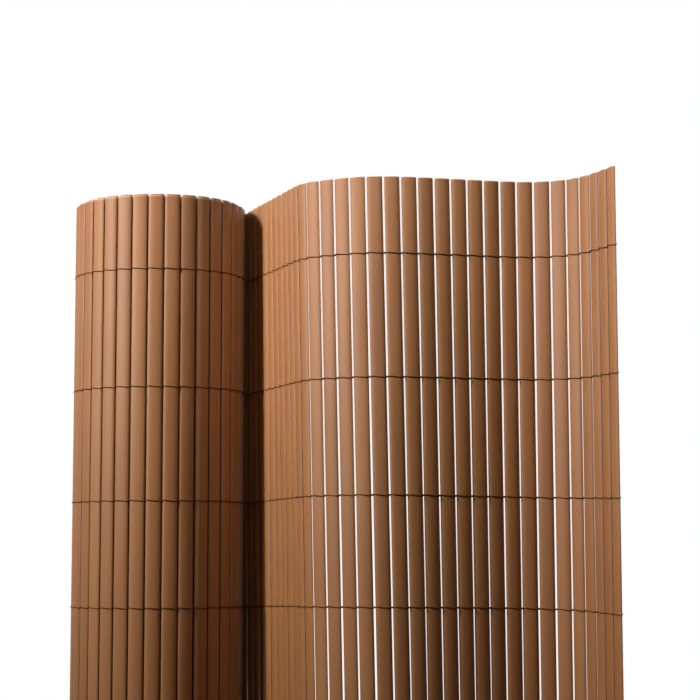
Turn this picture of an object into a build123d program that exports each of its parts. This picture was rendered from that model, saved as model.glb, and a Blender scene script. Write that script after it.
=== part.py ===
# Privacy screen: hollow PVC slats bound by rows of thread, partly unrolled and standing on end.
# X runs to the right along the open sheet, Y away from its visible face, Z up; the floor is Z = 0.
import os
from math import asin, atan2, cos, hypot, pi, radians, sin

from build123d import *

# The extruded slat
slat_length = 750.0
slat_width = 13.7
slat_thickness = 4.2  # across the two faces, at the middle
slat_edge = 1.9  # across the narrow edges
face_flat = 5.0  # level middle of a face, between its two sloping flanks
slat_wall = 1.0  # between the cavity and the middle of a face
cavity_width = 8.0

# The mat
slat_gap = 1.5  # bare thread between two slats of the open sheet
roll_gap = 1.35  # the same in the roll, where the outer strand draws the slats closer

# The roll, a spiral that winds inwards from the point where the sheet leaves it
roll_radius = 82.1  # from the roll's axis to the middle of the slat that leaves
leave_angle = 19.5  # place of that slat on the roll, anticlockwise from +X
turn_count = 4
turn_gap = 0.35  # thread pressed flat between two turns
turn_rise = 2.5  # how far the inner turns have crept up past the outer one
rise_slats = 12  # slats over which they creep up

# The open sheet from the roll to the free end: degrees of bend before each slat
first_bends = [0.0] * 11  # straight out of the roll
hump_bends = [10.8, 22.3, 4.7, 4.0, 10.3, 13.2, 11.9, 5.3, 2.8, 0.0, 0.0]
end_bends = [0.0, 0.0, -3.0, -9.8, -16.3, -14.8, -18.1, -12.5, -7.1, -2.7, 0.0]
# How far the feet stand to the right of the tops, at six places along the sheet
drift_shares = [0.0, 0.18, 0.33, 0.52, 0.76, 1.0]
foot_drifts = [0.0, 11.9, 14.9, 14.8, 4.5, 2.1]

# The binding thread
thread_size = 0.8
thread_seat = 0.15  # between a thread and the crown of a slat
row_1 = 67.5  # first, second and third row, each from the nearer end of the slats
row_2 = 176.0
row_3 = 280.0

slat_pitch = slat_width + slat_gap
roll_pitch = slat_width + roll_gap
turn_pitch = slat_thickness + turn_gap
bend_angles = first_bends + hump_bends + end_bends
sheet_slats = len(bend_angles)
row_heights = [
    slat_length - row_1,
    slat_length - row_2,
    slat_length - row_3,
    slat_length / 2,
    row_3,
    row_2,
    row_1,
]

# Plan of the sheet at its top edge: the middles of the gaps, from the roll to the free end
heading = radians(leave_angle - 90)
sheet_plan = [(roll_radius * cos(radians(leave_angle)), roll_radius * sin(radians(leave_angle)))]
for angle in bend_angles:
    heading += radians(angle)
    last_x, last_y = sheet_plan[-1]
    sheet_plan.append((last_x + slat_pitch * cos(heading), last_y + slat_pitch * sin(heading)))

# Plan of the roll: the middles of the gaps, from the leaving point inwards, and the turn each slat is in
roll_plan = [sheet_plan[0]]
roll_turns = []
turned = 0.0
radius = roll_radius
while turned < 2 * pi * turn_count:
    roll_turns.append(int(turned / (2 * pi)))
    turned += 2 * asin(roll_pitch / (2 * radius))
    radius = roll_radius - turn_pitch * turned / (2 * pi)
    bearing = radians(leave_angle) + turned
    roll_plan.append((radius * cos(bearing), radius * sin(bearing)))
outer_slats = roll_turns.count(0)

# Drift of the feet at each gap of the sheet, in straight runs between the six places
drifts = []
for gap in range(sheet_slats + 1):
    share = gap / sheet_slats
    place = max(index for index in range(len(drift_shares) - 1) if drift_shares[index] <= share)
    part_way = (share - drift_shares[place]) / (drift_shares[place + 1] - drift_shares[place])
    drifts.append(foot_drifts[place] + (foot_drifts[place + 1] - foot_drifts[place]) * part_way)


def sheet_plan_at(height):
    lean = 1 - height / slat_length
    return [(x + drift * lean, y) for (x, y), drift in zip(sheet_plan, drifts)]


def beside(points, side):
    """The line that runs at a distance to the left of a line of points, with mitred corners."""
    moved = []
    for index, (x, y) in enumerate(points):
        before = points[max(index - 1, 0)]
        after = points[min(index + 1, len(points) - 1)]
        first = atan2(y - before[1], x - before[0]) if index > 0 else atan2(after[1] - y, after[0] - x)
        second = atan2(after[1] - y, after[0] - x) if index < len(points) - 1 else first
        bend = (second - first + pi) % (2 * pi) - pi
        if abs(bend) < 1e-6 and 0 < index < len(points) - 1:
            continue
        normal = first + bend / 2 + pi / 2
        reach = side / cos(bend / 2)
        moved.append((x + reach * cos(normal), y + reach * sin(normal)))
    return moved


def thread_outline(height):
    """Plan of one thread: round the outer turn, along the back of the sheet, back along its face."""
    sheet = sheet_plan_at(height)
    near = slat_thickness / 2 + thread_seat
    far = near + thread_size
    back = roll_plan[outer_slats - 3 : 0 : -1] + sheet
    front = sheet[1:]
    (x_0, y_0), (x_1, y_1) = sheet[-2], sheet[-1]
    along = atan2(y_1 - y_0, x_1 - x_0)

    def ended(points, reach):
        tip = (x_1 + reach * cos(along), y_1 + reach * sin(along))
        return points[:-1] + [tip]

    inner_reach = thread_seat - slat_gap / 2
    outer_reach = inner_reach + thread_size
    outside = beside(ended(back, outer_reach), far) + beside(ended(front, outer_reach), -far)[::-1]
    inside = beside(ended(front, inner_reach), -near) + beside(ended(back, inner_reach), near)[::-1]
    return outside + inside


# The origin is the middle of the whole plan, on the floor
reaches = [point for height in row_heights for point in thread_outline(height)]
centre_x = (min(x for x, y in reaches) + max(x for x, y in reaches)) / 2
centre_y = (min(y for x, y in reaches) + max(y for x, y in reaches)) / 2

os.makedirs("parts", exist_ok=True)

# The slat's section: faces crowned by a level middle and two flanks, narrow edges, and a cavity along it
with BuildSketch() as slat_section:
    with BuildLine():
        Polyline(
            (slat_width / 2, -slat_edge / 2),
            (slat_width / 2, slat_edge / 2),
            (face_flat / 2, slat_thickness / 2),
            (-face_flat / 2, slat_thickness / 2),
            (-slat_width / 2, slat_edge / 2),
            (-slat_width / 2, -slat_edge / 2),
            (-face_flat / 2, -slat_thickness / 2),
            (face_flat / 2, -slat_thickness / 2),
            close=True,
        )
    make_face()
    Rectangle(cavity_width, slat_thickness - 2 * slat_wall, mode=Mode.SUBTRACT)


def slat_plane(start, end, height, angle):
    """The plane of a slat's foot, with X across the slat."""
    origin = ((start[0] + end[0]) / 2 - centre_x, (start[1] + end[1]) / 2 - centre_y, height)
    return Plane(origin=origin, x_dir=(cos(angle), sin(angle), 0), z_dir=(0, 0, 1))


# The open sheet: each slat is set square to the mat at half height and leans with its drift
half_plan = sheet_plan_at(slat_length / 2)
foot_plan = sheet_plan_at(0)
for slat in range(sheet_slats):
    start, end = half_plan[slat], half_plan[slat + 1]
    across = atan2(end[1] - start[1], end[0] - start[0])
    drift = (drifts[slat] + drifts[slat + 1]) / 2
    with BuildPart() as sheet_slat:
        with BuildSketch(slat_plane(foot_plan[slat], foot_plan[slat + 1], 0, across)):
            add(slat_section.sketch)
        extrude(amount=hypot(slat_length, drift), dir=Vector(-drift, 0, slat_length).normalized())
    sheet_slat.part.label = f"sheet_slat_{slat + 1:02d}"
    export_step(sheet_slat.part, f"parts/{sheet_slat.part.label}.step")

# The roll, one group of slats for each turn, counted from the outside
for turn in range(turn_count):
    with BuildPart() as roll_turn:
        for slat in range(len(roll_turns)):
            if roll_turns[slat] == turn:
                start, end = roll_plan[slat + 1], roll_plan[slat]
                across = atan2(end[1] - start[1], end[0] - start[0])
                rise = turn_rise * min(max(slat - outer_slats, 0) / rise_slats, 1)
                with BuildSketch(slat_plane(start, end, rise, across)):
                    add(slat_section.sketch)
        extrude(amount=slat_length)
    roll_turn.part.label = f"roll_turn_{turn + 1}"
    export_step(roll_turn.part, f"parts/{roll_turn.part.label}.step")

# The binding threads
for row, height in enumerate(row_heights):
    outline = [(x - centre_x, y - centre_y) for x, y in thread_outline(height)]
    with BuildPart() as binding_thread:
        with BuildSketch(Plane.XY.offset(height - thread_size / 2)):
            with BuildLine():
                Polyline(*outline, close=True)
            make_face()
        extrude(amount=thread_size)
    binding_thread.part.label = f"binding_thread_{row + 1}"
    export_step(binding_thread.part, f"parts/{binding_thread.part.label}.step")
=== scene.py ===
import math

import bpy
import numpy as np
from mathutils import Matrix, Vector


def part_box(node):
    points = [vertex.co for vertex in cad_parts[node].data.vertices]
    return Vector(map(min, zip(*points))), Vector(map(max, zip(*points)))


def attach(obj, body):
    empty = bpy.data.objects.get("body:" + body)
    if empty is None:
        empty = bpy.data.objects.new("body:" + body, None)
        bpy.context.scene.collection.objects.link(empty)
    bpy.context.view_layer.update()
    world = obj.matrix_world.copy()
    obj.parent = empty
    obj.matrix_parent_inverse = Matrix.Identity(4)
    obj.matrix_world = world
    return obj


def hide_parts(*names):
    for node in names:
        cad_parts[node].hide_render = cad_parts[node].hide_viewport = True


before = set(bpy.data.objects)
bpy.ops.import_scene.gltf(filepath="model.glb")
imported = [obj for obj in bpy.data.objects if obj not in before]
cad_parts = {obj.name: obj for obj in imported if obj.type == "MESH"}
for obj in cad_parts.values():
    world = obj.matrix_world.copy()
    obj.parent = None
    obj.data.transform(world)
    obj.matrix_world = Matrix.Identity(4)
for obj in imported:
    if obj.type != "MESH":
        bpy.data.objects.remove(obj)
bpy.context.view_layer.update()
mm = 0.001
body = "root"
print("frame loaded,", len(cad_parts), "nodes")


# colours are written as sRGB hex and handed to the shaders as linear values
def hexColour(code):
    srgb = np.array([int(code[i : i + 2], 16) for i in (1, 3, 5)]) / 255
    linear = np.where(srgb <= 0.04045, srgb / 12.92, ((srgb + 0.055) / 1.055) ** 2.4)
    return (*linear.tolist(), 1.0)


# one node: its own settings by name, then each socket takes a value or another node's output
def addNode(tree, kind, sockets=None, **settings):
    node = tree.nodes.new("ShaderNode" + kind)
    for name, value in settings.items():
        setattr(node, name, value)
    for name, value in (sockets or {}).items():
        if isinstance(value, bpy.types.NodeSocket):
            tree.links.new(value, node.inputs[name])
        else:
            node.inputs[name].default_value = value
    return node


def newMaterial(name):
    material = bpy.data.materials.new(name)
    material.use_nodes = True
    material.node_tree.nodes.clear()
    return material, material.node_tree


# the mat as it was bound and then rolled up, in mm and degrees
mat = dict(
    slatLength=750.0,
    slatWidth=13.7,
    slatGap=1.5,
    rollGap=1.35,  # the outer strand draws rolled slats closer
    rollRadius=82.1,  # from the roll's axis to the middle of the slat that leaves it
    leaveAngle=19.5,
    turnCount=4,
    turnPitch=4.55,  # one layer of slats and the thread pressed flat on it
    turnRise=2.5,  # the inner turns have crept up past the outer one
    riseSlats=12,
    straightSlats=11,
    humpBends=(10.8, 22.3, 4.7, 4.0, 10.3, 13.2, 11.9, 5.3, 2.8, 0.0, 0.0),
    endBends=(0.0, 0.0, -3.0, -9.8, -16.3, -14.8, -18.1, -12.5, -7.1, -2.7, 0.0),
    driftShares=(0.0, 0.18, 0.33, 0.52, 0.76, 1.0),  # places along the sheet
    footDrifts=(0.0, 11.9, 14.9, 14.8, 4.5, 2.1),  # how far the feet stand to the right there
    lastSlat="sheet_slat_33",
)


# Gap middles seen from above. The sheet is a chain of equal steps whose heading turns by a set angle before
# each step; the roll is a chain of the same step on a spiral that loses one layer's thickness a turn.
# Slats are then counted from the core of the roll to the free end.
def layMat(size):
    pitch = size["slatWidth"] + size["slatGap"]
    rollPitch = size["slatWidth"] + size["rollGap"]
    leave = math.radians(size["leaveAngle"])
    bends = np.concatenate([np.zeros(size["straightSlats"]), size["humpBends"], size["endBends"]])
    heading = leave - math.pi / 2 + np.radians(np.cumsum(bends))
    steps = pitch * np.stack([np.cos(heading), np.sin(heading)], 1)
    leaving = size["rollRadius"] * np.array([[math.cos(leave), math.sin(leave)]])
    sheet = np.vstack([leaving, leaving + np.cumsum(steps, 0)])
    turned, radius, wound, turns = 0.0, size["rollRadius"], [], []
    while turned < 2 * math.pi * size["turnCount"]:
        turns.append(int(turned / (2 * math.pi)) + 1)
        turned += 2 * math.asin(rollPitch / (2 * radius))
        radius = size["rollRadius"] - size["turnPitch"] * turned / (2 * math.pi)
        wound.append((radius * math.cos(leave + turned), radius * math.sin(leave + turned)))
    gaps = np.vstack([np.array(wound)[::-1], sheet])
    turns = np.array(turns[::-1] + [0] * len(steps))
    drift = np.interp(np.linspace(0, 1, len(sheet)), size["driftShares"], size["footDrifts"])
    drift = np.concatenate([np.zeros(len(wound)), drift])
    half = gaps + np.stack([drift / 2, 0 * drift], 1)
    step = np.diff(half, axis=0)
    past = len(wound) - 1 - np.arange(len(turns)) - np.sum(turns == 1)
    return dict(
        top=(gaps[1:] + gaps[:-1]) / 2,
        drift=(drift[1:] + drift[:-1]) / 2,
        bearing=np.arctan2(step[:, 1], step[:, 0]),
        rise=size["turnRise"] * np.clip(past / size["riseSlats"], 0, 1),
        turn=turns,  # 0 in the open sheet, then 1 for the outermost
        pitch=pitch,
    )


# how far a slat strays from its place, as a usual error in mm and degrees
stray = dict(
    seed=27,
    shift=0.05,
    drift=0.12,
    turn=0.4,
    rolled=0.45,  # share of it in the roll, which holds its slats closer than the open sheet does
    toneLimit=2.0,
)

slats = layMat(mat)
low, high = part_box(mat["lastSlat"])
lastMiddle = slats["top"][-1] + np.array([slats["drift"][-1] / 2, 0])
slats["top"] += np.array([low.x + high.x, low.y + high.y]) / 2 / mm - lastMiddle  # to the frame's free end
slatCount = len(slats["turn"])
sheetFirst = int(np.argmax(slats["turn"] == 0))
chance = np.random.default_rng(stray["seed"])
loose = np.where(slats["turn"] == 0, 1.0, stray["rolled"])
slats["top"] += chance.normal(0, stray["shift"], (slatCount, 2)) * loose[:, None]
slats["drift"] += chance.normal(0, stray["drift"], slatCount) * loose
slats["bearing"] += np.radians(chance.normal(0, stray["turn"], slatCount)) * loose
slats["tone"] = np.clip(chance.normal(0, 1, slatCount), -stray["toneLimit"], stray["toneLimit"])
print("mat laid,", slatCount, "slats")


# extruded slat: a flat hollow bar with crowned faces, sawn off square, in mm
slat = dict(
    halfWidth=6.85,
    halfThickness=1.8,
    crown=1.4,  # how far a face falls to its edges
    fall=3,  # as this power of the way across
    corner=0.3,
    cavityWidth=5.2,  # half of it, as above
    cavityThickness=0.95,
    cavityCrown=0.5,
    cavityCorner=0.3,
    burr=0.35,  # the saw cut's broken edge, across
    burrTall=0.9,
    facePoints=9,
    rings=(0.5,),  # more sections, as shares of the length
    bow=0.1,
    grainApart=47.0,  # between the patterns of two slats, so that no two are alike
    sharpAngle=40,
)


# Section of a slat: each face falls from its middle as the cube of the way across, less a quarter circle at
# its two edges, and the points crowd towards the edges as a sine does.
def slatSection(halfWidth, halfThickness, crown, corner, points):
    across = halfWidth * np.sin(np.linspace(-np.pi / 2, np.pi / 2, points))
    past = np.clip((np.abs(across) - halfWidth + corner) / corner, 0, 1)
    fallen = crown * np.abs(across / halfWidth) ** slat["fall"]
    face = halfThickness - fallen - corner * (1 - np.sqrt(1 - past**2))
    return np.concatenate([np.stack([across, face], 1), np.stack([across, -face], 1)[::-1]])


# A closed band of sections: up the outside, in over the top, down the cavity, out under the foot. Each
# section is turned to the slat's bearing and carried along the slat's own leaning, slightly bowed line.
def slatSurfaces(chosen):
    points = slat["facePoints"]
    burr, tall, length = slat["burr"], slat["burrTall"], mat["slatLength"]
    outer = slatSection(slat["halfWidth"], slat["halfThickness"], slat["crown"], slat["corner"], points)
    cut = outer * (1 - burr / np.array([slat["halfWidth"], slat["halfThickness"]]))
    inner = slatSection(
        slat["cavityWidth"], slat["cavityThickness"], slat["cavityCrown"], slat["cavityCorner"], points
    )
    height = np.array([0, tall, *(length * np.array(slat["rings"])), length - tall, length, length, 0])
    between = len(slat["rings"]) + 2
    section = np.stack([cut] + [outer] * between + [cut, inner, inner])
    # 1 where the painted highlight goes: the cut rims, the end faces and the cavity
    sawnHighlight = np.array([1.0] + [0.0] * between + [1.0, 1.0, 1.0])
    share = height / length
    bow = slat["bow"] * chance.normal(0, 1, (len(chosen), 2, 1)) * np.sin(np.pi * share)
    bow *= loose[chosen][:, None, None]
    middleX = slats["top"][chosen, 0][:, None] + slats["drift"][chosen][:, None] * (1 - share) + bow[:, 0]
    middleY = slats["top"][chosen, 1][:, None] + bow[:, 1]
    cosine = np.cos(slats["bearing"][chosen])[:, None, None]
    sine = np.sin(slats["bearing"][chosen])[:, None, None]
    across, through = section[None, :, :, 0], section[None, :, :, 1]
    x = middleX[:, :, None] + cosine * across - sine * through
    y = middleY[:, :, None] + sine * across + cosine * through
    z = np.broadcast_to((slats["rise"][chosen][:, None] + height)[:, :, None], x.shape)
    ringCount, aroundCount = section.shape[:2]
    first = np.arange(len(chosen))[:, None, None] * ringCount * aroundCount
    ring = np.arange(ringCount)[None, :, None] * aroundCount
    nextRing = np.roll(np.arange(ringCount), -1)[None, :, None] * aroundCount
    around = np.arange(aroundCount)[None, None, :]
    nextAround = np.roll(np.arange(aroundCount), -1)[None, None, :]
    faces = np.stack(
        [
            first + ring + around,
            first + nextRing + around,
            first + nextRing + nextAround,
            first + ring + nextAround,
        ],
        -1,
    )
    grain = np.stack(
        [
            np.broadcast_to(across + slat["grainApart"] * np.array(chosen)[:, None, None], x.shape),
            np.broadcast_to(through, x.shape),
            z,
        ],
        -1,
    )
    patterns = dict(
        slatGrain=grain.reshape(-1, 3),
        slatTone=np.broadcast_to(slats["tone"][chosen][:, None, None], x.shape).reshape(-1),
        sawnEnd=np.broadcast_to(sawnHighlight[None, :, None], x.shape).reshape(-1),
    )
    return np.stack([x, y, z], -1).reshape(-1, 3), faces.reshape(-1, 4).tolist(), patterns


# the mesh takes its points in metres and its faces as they are, with one attribute for each pattern
def makePiece(name, points, faces, patterns, material, node, slotName, sharpAngle):
    mesh = bpy.data.meshes.new(name)
    mesh.from_pydata(points * mm, [], faces)
    for key, values in patterns.items():
        kind, field = ("FLOAT_VECTOR", "vector") if values.ndim == 2 else ("FLOAT", "value")
        mesh.attributes.new(key, kind, "POINT").data.foreach_set(field, values.astype(np.float32).ravel())
    mesh.materials.append(material)
    mesh.shade_smooth()
    mesh.set_sharp_from_angle(angle=math.radians(sharpAngle))
    mesh.update()
    piece = bpy.data.objects.new(name, mesh)
    bpy.context.scene.collection.objects.link(piece)
    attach(piece, body)
    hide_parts(node)
    return piece


# Rigid PVC, extruded and air cooled: a satin skin with faint draw lines along the slat, each slat a shade
# apart, and pale ends: a painted highlight along the cut rims, also on the end faces and in the cavity.
pvc = dict(
    deep="#835025",
    plain="#935D2D",
    pale="#A06A39",
    # painted highlight on the cut rims, end faces and cavity
    sawnHighlight="#D8B598",
    sawnHighlightShare=0.9,
    drawLine=0.9,  # mm across; the real lines are finer, these are as coarse as the picture can show
    drawRun=220.0,  # mm along
    drawShade=0.12,  # shades are shares of the way from deep to pale
    cloud=26.0,
    cloudRun=150.0,
    cloudShade=0.16,
    slatShade=0.11,
    noiseRange=(0.3, 0.7),  # where nearly all of a noise lies
    ripple=0.06,  # mm deep
    rippleStrength=0.25,
    roughness=(0.58, 0.67),  # in the draw lines and between them
    specular=0.6,  # a little over the 0.56 of PVC's index of 1.54
)


def extrudedPvc():
    material, tree = newMaterial("extrudedPvc")
    grain = addNode(tree, "Attribute", attribute_name="slatGrain").outputs["Vector"]
    tone = addNode(tree, "Attribute", attribute_name="slatTone").outputs["Fac"]
    sawnEnd = addNode(tree, "Attribute", attribute_name="sawnEnd").outputs["Fac"]
    lineScale = (1 / pvc["drawLine"], 1 / pvc["drawLine"], 1 / pvc["drawRun"])
    cloudScale = (1 / pvc["cloud"], 1 / pvc["cloud"], 1 / pvc["cloudRun"])
    lineMap = addNode(tree, "Mapping", {"Vector": grain, "Scale": lineScale}).outputs[0]
    cloudMap = addNode(tree, "Mapping", {"Vector": grain, "Scale": cloudScale}).outputs[0]
    lines = addNode(
        tree, "TexNoise", {"Vector": lineMap, "Scale": 1.0, "Detail": 2.0, "Roughness": 0.5}
    ).outputs[0]
    cloud = addNode(
        tree, "TexNoise", {"Vector": cloudMap, "Scale": 1.0, "Detail": 3.0, "Roughness": 0.55}
    ).outputs[0]
    noise = {"From Min": pvc["noiseRange"][0], "From Max": pvc["noiseRange"][1]}
    lineRange = {"To Min": 0.5 - pvc["drawShade"], "To Max": 0.5 + pvc["drawShade"]}
    cloudRange = {"To Min": -pvc["cloudShade"], "To Max": pvc["cloudShade"]}
    glossRange = {"To Min": pvc["roughness"][0], "To Max": pvc["roughness"][1]}
    shade = addNode(tree, "MapRange", {"Value": lines, **noise, **lineRange})
    shift = addNode(tree, "MapRange", {"Value": cloud, **noise, **cloudRange})
    gloss = addNode(tree, "MapRange", {"Value": lines, **noise, **glossRange})
    apart = addNode(
        tree, "Math", {0: tone, 1: pvc["slatShade"], 2: shift.outputs[0]}, operation="MULTIPLY_ADD"
    )
    mixed = addNode(
        tree, "Math", {0: shade.outputs[0], 1: apart.outputs[0]}, operation="ADD", use_clamp=True
    )
    ramp = addNode(tree, "ValToRGB", {"Fac": mixed.outputs[0]})
    ramp.color_ramp.elements[0].color = hexColour(pvc["deep"])
    ramp.color_ramp.elements[1].color = hexColour(pvc["pale"])
    ramp.color_ramp.elements.new(0.5).color = hexColour(pvc["plain"])
    # painted highlight mixed over the skin at the cut ends
    paintedHighlight = addNode(tree, "Math", {0: sawnEnd, 1: pvc["sawnHighlightShare"]}, operation="MULTIPLY")
    skin = addNode(
        tree,
        "Mix",
        {"Factor": paintedHighlight.outputs[0], "A": ramp.outputs[0], "B": hexColour(pvc["sawnHighlight"])},
        data_type="RGBA",
    )
    ripple = addNode(
        tree, "Bump", {"Height": lines, "Strength": pvc["rippleStrength"], "Distance": pvc["ripple"] * mm}
    )
    shader = addNode(
        tree,
        "BsdfPrincipled",
        {
            "Base Color": skin.outputs[2],
            "Roughness": gloss.outputs[0],
            "Normal": ripple.outputs[0],
            "Specular IOR Level": pvc["specular"],
        },
    )
    addNode(tree, "OutputMaterial", {"Surface": shader.outputs[0]})
    return material


# Polyester sewing twine, two plies twisted: a dull dark line with the plies as faint slanting bands, which
# are painted shade of the grooves between them, lighter on their crowns.
twine = dict(dark="#3C1E07", light="#683A12", roughness=0.8, specular=0.2)


def twistedTwine():
    material, tree = newMaterial("twistedTwine")
    # 0 in the painted shade of a groove between the plies, 1 on the lighter crown of a ply
    ply = addNode(tree, "Attribute", attribute_name="plyGrooveShade").outputs["Fac"]
    colour = addNode(
        tree,
        "Mix",
        {"Factor": ply, "A": hexColour(twine["dark"]), "B": hexColour(twine["light"])},
        data_type="RGBA",
    )
    shader = addNode(
        tree,
        "BsdfPrincipled",
        {
            "Base Color": colour.outputs[2],
            "Roughness": twine["roughness"],
            "Specular IOR Level": twine["specular"],
        },
    )
    addNode(tree, "OutputMaterial", {"Surface": shader.outputs[0]})
    return material


pvcSkin = extrudedPvc()
twineSkin = twistedTwine()
for name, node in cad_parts.items():
    node.data.materials.clear()
    node.data.materials.append(twineSkin if name.startswith("binding") else pvcSkin)

for index in range(sheetFirst, slatCount):
    node = f"sheet_slat_{index - sheetFirst + 1:02d}"
    makePiece("openSlat" + node[-2:], *slatSurfaces([index]), pvcSkin, node, "pvc", slat["sharpAngle"])
for turn in range(1, mat["turnCount"] + 1):
    chosen = np.flatnonzero(slats["turn"] == turn).tolist()
    node = f"roll_turn_{turn}"
    makePiece(f"rolledTurn{turn}", *slatSurfaces(chosen), pvcSkin, node, "pvc", slat["sharpAngle"])
print("slats made")


# binding twine: two strands that change faces in every gap, drawn round the free edge in one loop, in mm
binding = dict(
    radius=0.4,
    twisted=0.5,  # in a gap, where the two strands lie round each other
    pressed=0.15,  # where a strand lies between two turns
    slant=0.45,  # half the fall of a strand across one slat
    seat=0.05,
    edgeLift=1.3,
    edgeBulge=0.5,
    loopPoints=5,
    stops=(-7.6, -7.25, -6.85, -5.9, -3.0, 0.0, 3.0, 5.9, 6.85, 7.25),
    sides=6,
    ply=3.6,  # mm for one twist; the real lay is about half of this, which would not show
    outerFirst=2,  # slats of the outer turn that are passed over, where it goes under the sheet
    rows=(682.5, 574.0, 470.0, 375.0, 280.0, 176.0, 67.5),
    wander=(  # how far each row strays from its height at the roll, in mid sheet and at the free end
        (0.0, 0.0, 0.0),
        (0.0, 0.4, -0.4),
        (0.2, 2.4, -1.8),
        (-1.8, 1.4, -3.8),
        (-0.5, 1.0, -1.2),
        (0.0, -0.8, 0.6),
        (0.0, 0.5, 0.0),
    ),
    sharpAngle=80,
)


# Strand line over a run of slats: it follows the crown of the face it lies on, drops to nothing at the
# middle of each gap as a cosine does and comes up on the other face, and falls across a slat as half a sine.
# Along the sheet its height is a parabola through the three places where a row strays.
def strandLine(chosen, row, first, height):
    stops = np.array(binding["stops"])[None, :]
    order = np.array(chosen)[:, None]
    side = first * (-1.0) ** order
    turn = slats["turn"][chosen][:, None]
    covered = (turn == 1) | ((turn == 0) & (order <= sheetFirst))
    hidden = (covered & (side < 0)) | ((turn == mat["turnCount"]) & (side > 0))
    over = np.abs(stops) <= slat["halfWidth"]
    radius = np.where(over, np.where(hidden, binding["pressed"], binding["radius"]), binding["twisted"])
    fallen = slat["crown"] * np.abs(stops / slat["halfWidth"]) ** slat["fall"]
    face = slat["halfThickness"] - fallen + radius + binding["seat"] * ~hidden
    past = np.clip((np.abs(stops) - slat["halfWidth"]) / (mat["slatGap"] / 2), 0, 1)
    lift = side * np.where(over, face, binding["edgeLift"] * np.cos(np.pi / 2 * past))
    bearing = slats["bearing"][chosen][:, None]
    lean = slats["drift"][chosen] * (1 - height / mat["slatLength"])
    x = (slats["top"][chosen, 0] + lean)[:, None] + stops * np.cos(bearing) - lift * np.sin(bearing)
    y = slats["top"][chosen, 1][:, None] + stops * np.sin(bearing) + lift * np.cos(bearing)
    along = (order + stops / slats["pitch"] - sheetFirst) / (slatCount - sheetFirst)
    along = np.clip(along, 0, 1)
    start, middle, end = binding["wander"][row]
    wander = start * (1 - along) * (1 - 2 * along) + 4 * middle * along * (1 - along)
    wander += end * along * (2 * along - 1)
    slant = side * binding["slant"] * np.sin(np.pi * stops / slats["pitch"])
    z = height + slats["rise"][chosen][:, None] + wander + slant
    return np.stack([x, y, z], -1).reshape(-1, 3), np.broadcast_to(radius, x.shape).reshape(-1)


# Round a free edge: half an ellipse from one strand's end to the other's, bulging past the edge.
def edgeLoop(start, end, outward):
    angle = np.linspace(0, np.pi, binding["loopPoints"] + 2)[1:-1, None]
    bulge = outward * binding["edgeBulge"] * np.sin(angle)
    return (start + end) / 2 + (start - end) / 2 * np.cos(angle) + bulge


# A tube: circles square to the line, in the frame of its heading and the upright, closed by a flat cap at
# each end. Its painted shade, dark in the two grooves between the plies, goes round twice a turn and winds
# along with the ply.
def tube(line, radius, firstPoint):
    heading = np.gradient(line, axis=0)
    heading /= np.linalg.norm(heading, axis=1)[:, None]
    level = np.cross(heading, [0, 0, 1])
    level /= np.linalg.norm(level, axis=1)[:, None]
    upright = np.cross(level, heading)
    angle = np.arange(binding["sides"]) * 2 * np.pi / binding["sides"]
    circle = level[:, None] * np.cos(angle)[None, :, None] + upright[:, None] * np.sin(angle)[None, :, None]
    points = line[:, None] + radius[:, None, None] * circle
    run = np.concatenate([[0], np.cumsum(np.linalg.norm(np.diff(line, axis=0), axis=1))])
    shade = 0.5 + 0.5 * np.cos(2 * angle[None, :] - 2 * np.pi * run[:, None] / binding["ply"])
    ringCount, sides = points.shape[:2]
    index = firstPoint + np.arange(ringCount * sides).reshape(ringCount, sides)
    ahead = np.roll(index, -1, 1)
    quads = np.stack([index[:-1], ahead[:-1], ahead[1:], index[1:]], -1).reshape(-1, 4)
    caps = [index[0][::-1].tolist(), index[-1].tolist()]
    return points.reshape(-1, 3), quads.tolist() + caps, shade.reshape(-1)


# One row: a loop from the outer turn along the sheet to the free end, and a loop round the innermost turn
# from the mat's other end. The points in the gap beyond an edge are left out, as the loop closes there.
def bindingRow(row):
    height = binding["rows"][row]
    outerRun = np.arange(np.flatnonzero(slats["turn"] == 1)[binding["outerFirst"]], slatCount).tolist()
    coreRun = np.flatnonzero(slats["turn"] == mat["turnCount"]).tolist()
    points, faces, shades, made = [], [], [], 0
    for chosen, atEnd in ((outerRun, True), (coreRun, False)):
        keep = slice(None, -1) if atEnd else slice(None, 1, -1)
        there, thereRadius = (part[keep] for part in strandLine(chosen, row, 1.0, height))
        back, backRadius = (part[keep] for part in strandLine(chosen, row, -1.0, height))
        bearing = slats["bearing"][chosen[-1] if atEnd else chosen[0]]
        outward = np.array([math.cos(bearing), math.sin(bearing), 0]) * (1 if atEnd else -1)
        loop = edgeLoop(there[-1], back[-1], outward)
        line = np.concatenate([there, loop, back[::-1]])
        radius = np.concatenate([thereRadius, np.full(len(loop), binding["radius"]), backRadius[::-1]])
        newPoints, newFaces, shade = tube(line, radius, made)
        points.append(newPoints)
        faces += newFaces
        shades.append(shade)
        made += len(newPoints)
    makePiece(
        f"bindingRow{row + 1}",
        np.concatenate(points),
        faces,
        dict(plyGrooveShade=np.concatenate(shades)),
        twineSkin,
        f"binding_thread_{row + 1}",
        "thread",
        binding["sharpAngle"],
    )


for row in range(len(binding["rows"])):
    bindingRow(row)
print("rows bound")


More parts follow.
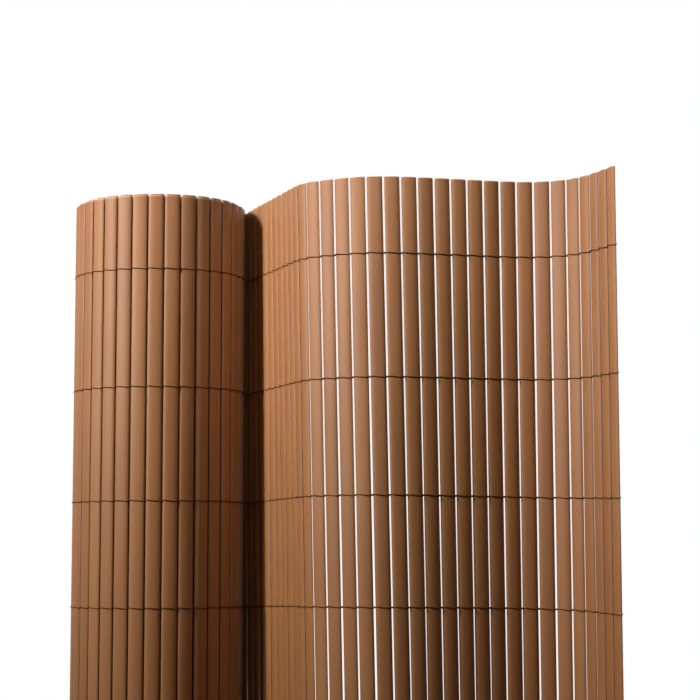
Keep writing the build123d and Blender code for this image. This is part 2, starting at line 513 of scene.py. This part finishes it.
# studio: a round pale floor, a small key light on the left that is gridded and aimed high, so its light
# thins out towards the feet, a weak lamp just over the front and a soft box behind; metres, watts, degrees
studio = dict(
    floorRadius=2.6,
    floorSides=96,
    floorColour="#A8A5A0",
    floorPale="#DEDBD6",
    floorGlow=0.75,
    floorRoughness=0.85,
    floorSpeck=0.125,
    floorShade=0.03,
    ambient=0.02,
    paperTurn=0.4,  # how far a mirrored ray has to turn back before it sees the whole white of the paper
    keyPlace=(-1.42, -0.78, 1.36),
    keyAim=(-0.05, 0.0, 0.71),
    keySize=(0.24, 0.3),
    keyPower=5.7,
    keySpread=65.0,
    overPlace=(0.05, -0.4, 1.0),
    overAim=(0.05, 0.0, 0.7),
    overSize=(0.2, 0.16),
    overPower=1.05,
    overSpread=180.0,
    backPlace=(0.3, 1.5, 1.1),
    backAim=(0.0, 0.0, 0.4),
    backSize=(1.4, 0.9),
    backPower=8.0,
    backSpread=180.0,
    cameraPlace=(0.016714, -1.851752, 0.418762),
    cameraPitch=5.8393,
    lens=104.43,  # mm, as is the sensor
    sensor=36.0,
)


def aimed(place, aim):
    return (Vector(aim) - Vector(place)).to_track_quat("-Z", "Y").to_euler()


def softLamp(name, part):
    lamp = bpy.data.lights.new(name, "AREA")
    lamp.shape = "RECTANGLE"
    lamp.size, lamp.size_y = studio[part + "Size"]
    lamp.energy = studio[part + "Power"]
    lamp.spread = math.radians(studio[part + "Spread"])
    holder = bpy.data.objects.new(name, lamp)
    holder.location = studio[part + "Place"]
    holder.rotation_euler = aimed(studio[part + "Place"], studio[part + "Aim"])
    bpy.context.scene.collection.objects.link(holder)


# painted floor, matt: pale to the eye also where little lamp light reaches it, with the mat's shadow on it
def studioFloor():
    material, tree = newMaterial("mattFloorPaint")
    place = addNode(tree, "TexCoord").outputs["Object"]
    speck = addNode(
        tree, "TexNoise", {"Vector": place, "Scale": 1 / studio["floorSpeck"], "Detail": 2.0}
    )
    paleRange = {"To Min": 1 - studio["floorShade"], "To Max": 1 + studio["floorShade"]}
    pale = addNode(tree, "MapRange", {"Value": speck.outputs[0], **paleRange})
    colour = addNode(
        tree,
        "Mix",
        {"Factor": 1.0, "A": hexColour(studio["floorColour"]), "B": pale.outputs[0]},
        data_type="RGBA",
        blend_type="MULTIPLY",
    )
    watched = addNode(tree, "LightPath").outputs["Is Camera Ray"]
    seen = addNode(tree, "Math", {0: watched, 1: studio["floorGlow"]}, operation="MULTIPLY")
    shader = addNode(
        tree,
        "BsdfPrincipled",
        {
            "Base Color": colour.outputs[2],
            "Roughness": studio["floorRoughness"],
            "Emission Color": hexColour(studio["floorPale"]),
            "Emission Strength": seen.outputs[0],
        },
    )
    addNode(tree, "OutputMaterial", {"Surface": shader.outputs[0]})
    sides = studio["floorSides"]
    angle = np.arange(sides) * 2 * np.pi / sides
    ring = studio["floorRadius"] * np.stack([np.cos(angle), np.sin(angle), 0 * angle], 1)
    mesh = bpy.data.meshes.new("studioFloor")
    mesh.from_pydata(ring.tolist(), [], [list(range(sides))])
    mesh.materials.append(material)
    floor = bpy.data.objects.new("studioFloor", mesh)
    bpy.context.scene.collection.objects.link(floor)


# the paper behind is white to the eye and in reflections, and little of the room's light falls on the mat
def studioRoom():
    world = bpy.data.worlds.new("studioRoom")
    world.use_nodes = True
    tree = world.node_tree
    tree.nodes.clear()
    path = addNode(tree, "LightPath")
    glossy, passed = path.outputs["Is Glossy Ray"], path.outputs["Is Transmission Ray"]
    way = addNode(tree, "SeparateXYZ", {"Vector": addNode(tree, "TexCoord").outputs["Generated"]})
    paper = addNode(
        tree, "MapRange", {"Value": way.outputs["Y"], "From Min": 0.0, "From Max": studio["paperTurn"]}
    )
    mirrored = addNode(tree, "Math", {0: glossy, 1: passed}, operation="MAXIMUM")
    mirrored = addNode(tree, "Math", {0: mirrored.outputs[0], 1: paper.outputs[0]}, operation="MULTIPLY")
    seen = addNode(
        tree, "Math", {0: path.outputs["Is Camera Ray"], 1: mirrored.outputs[0]}, operation="MAXIMUM"
    )
    level = addNode(
        tree, "MapRange", {"Value": seen.outputs[0], "To Min": studio["ambient"], "To Max": 1.0}
    )
    room = addNode(tree, "Background", {"Color": (1, 1, 1, 1), "Strength": level.outputs[0]})
    addNode(tree, "OutputWorld", {"Surface": room.outputs[0]})
    bpy.context.scene.world = world


studioFloor()
studioRoom()
softLamp("keyLamp", "key")
softLamp("overLamp", "over")
softLamp("backBox", "back")

eye = bpy.data.cameras.new("photoCamera")
eye.lens = studio["lens"]
eye.sensor_width = studio["sensor"]
camera = bpy.data.objects.new("photoCamera", eye)
camera.location = studio["cameraPlace"]
camera.rotation_euler = (math.radians(90 + studio["cameraPitch"]), 0, 0)
bpy.context.scene.collection.objects.link(camera)
bpy.context.scene.camera = camera
bpy.context.scene.view_settings.view_transform = "Standard"
print("studio set")
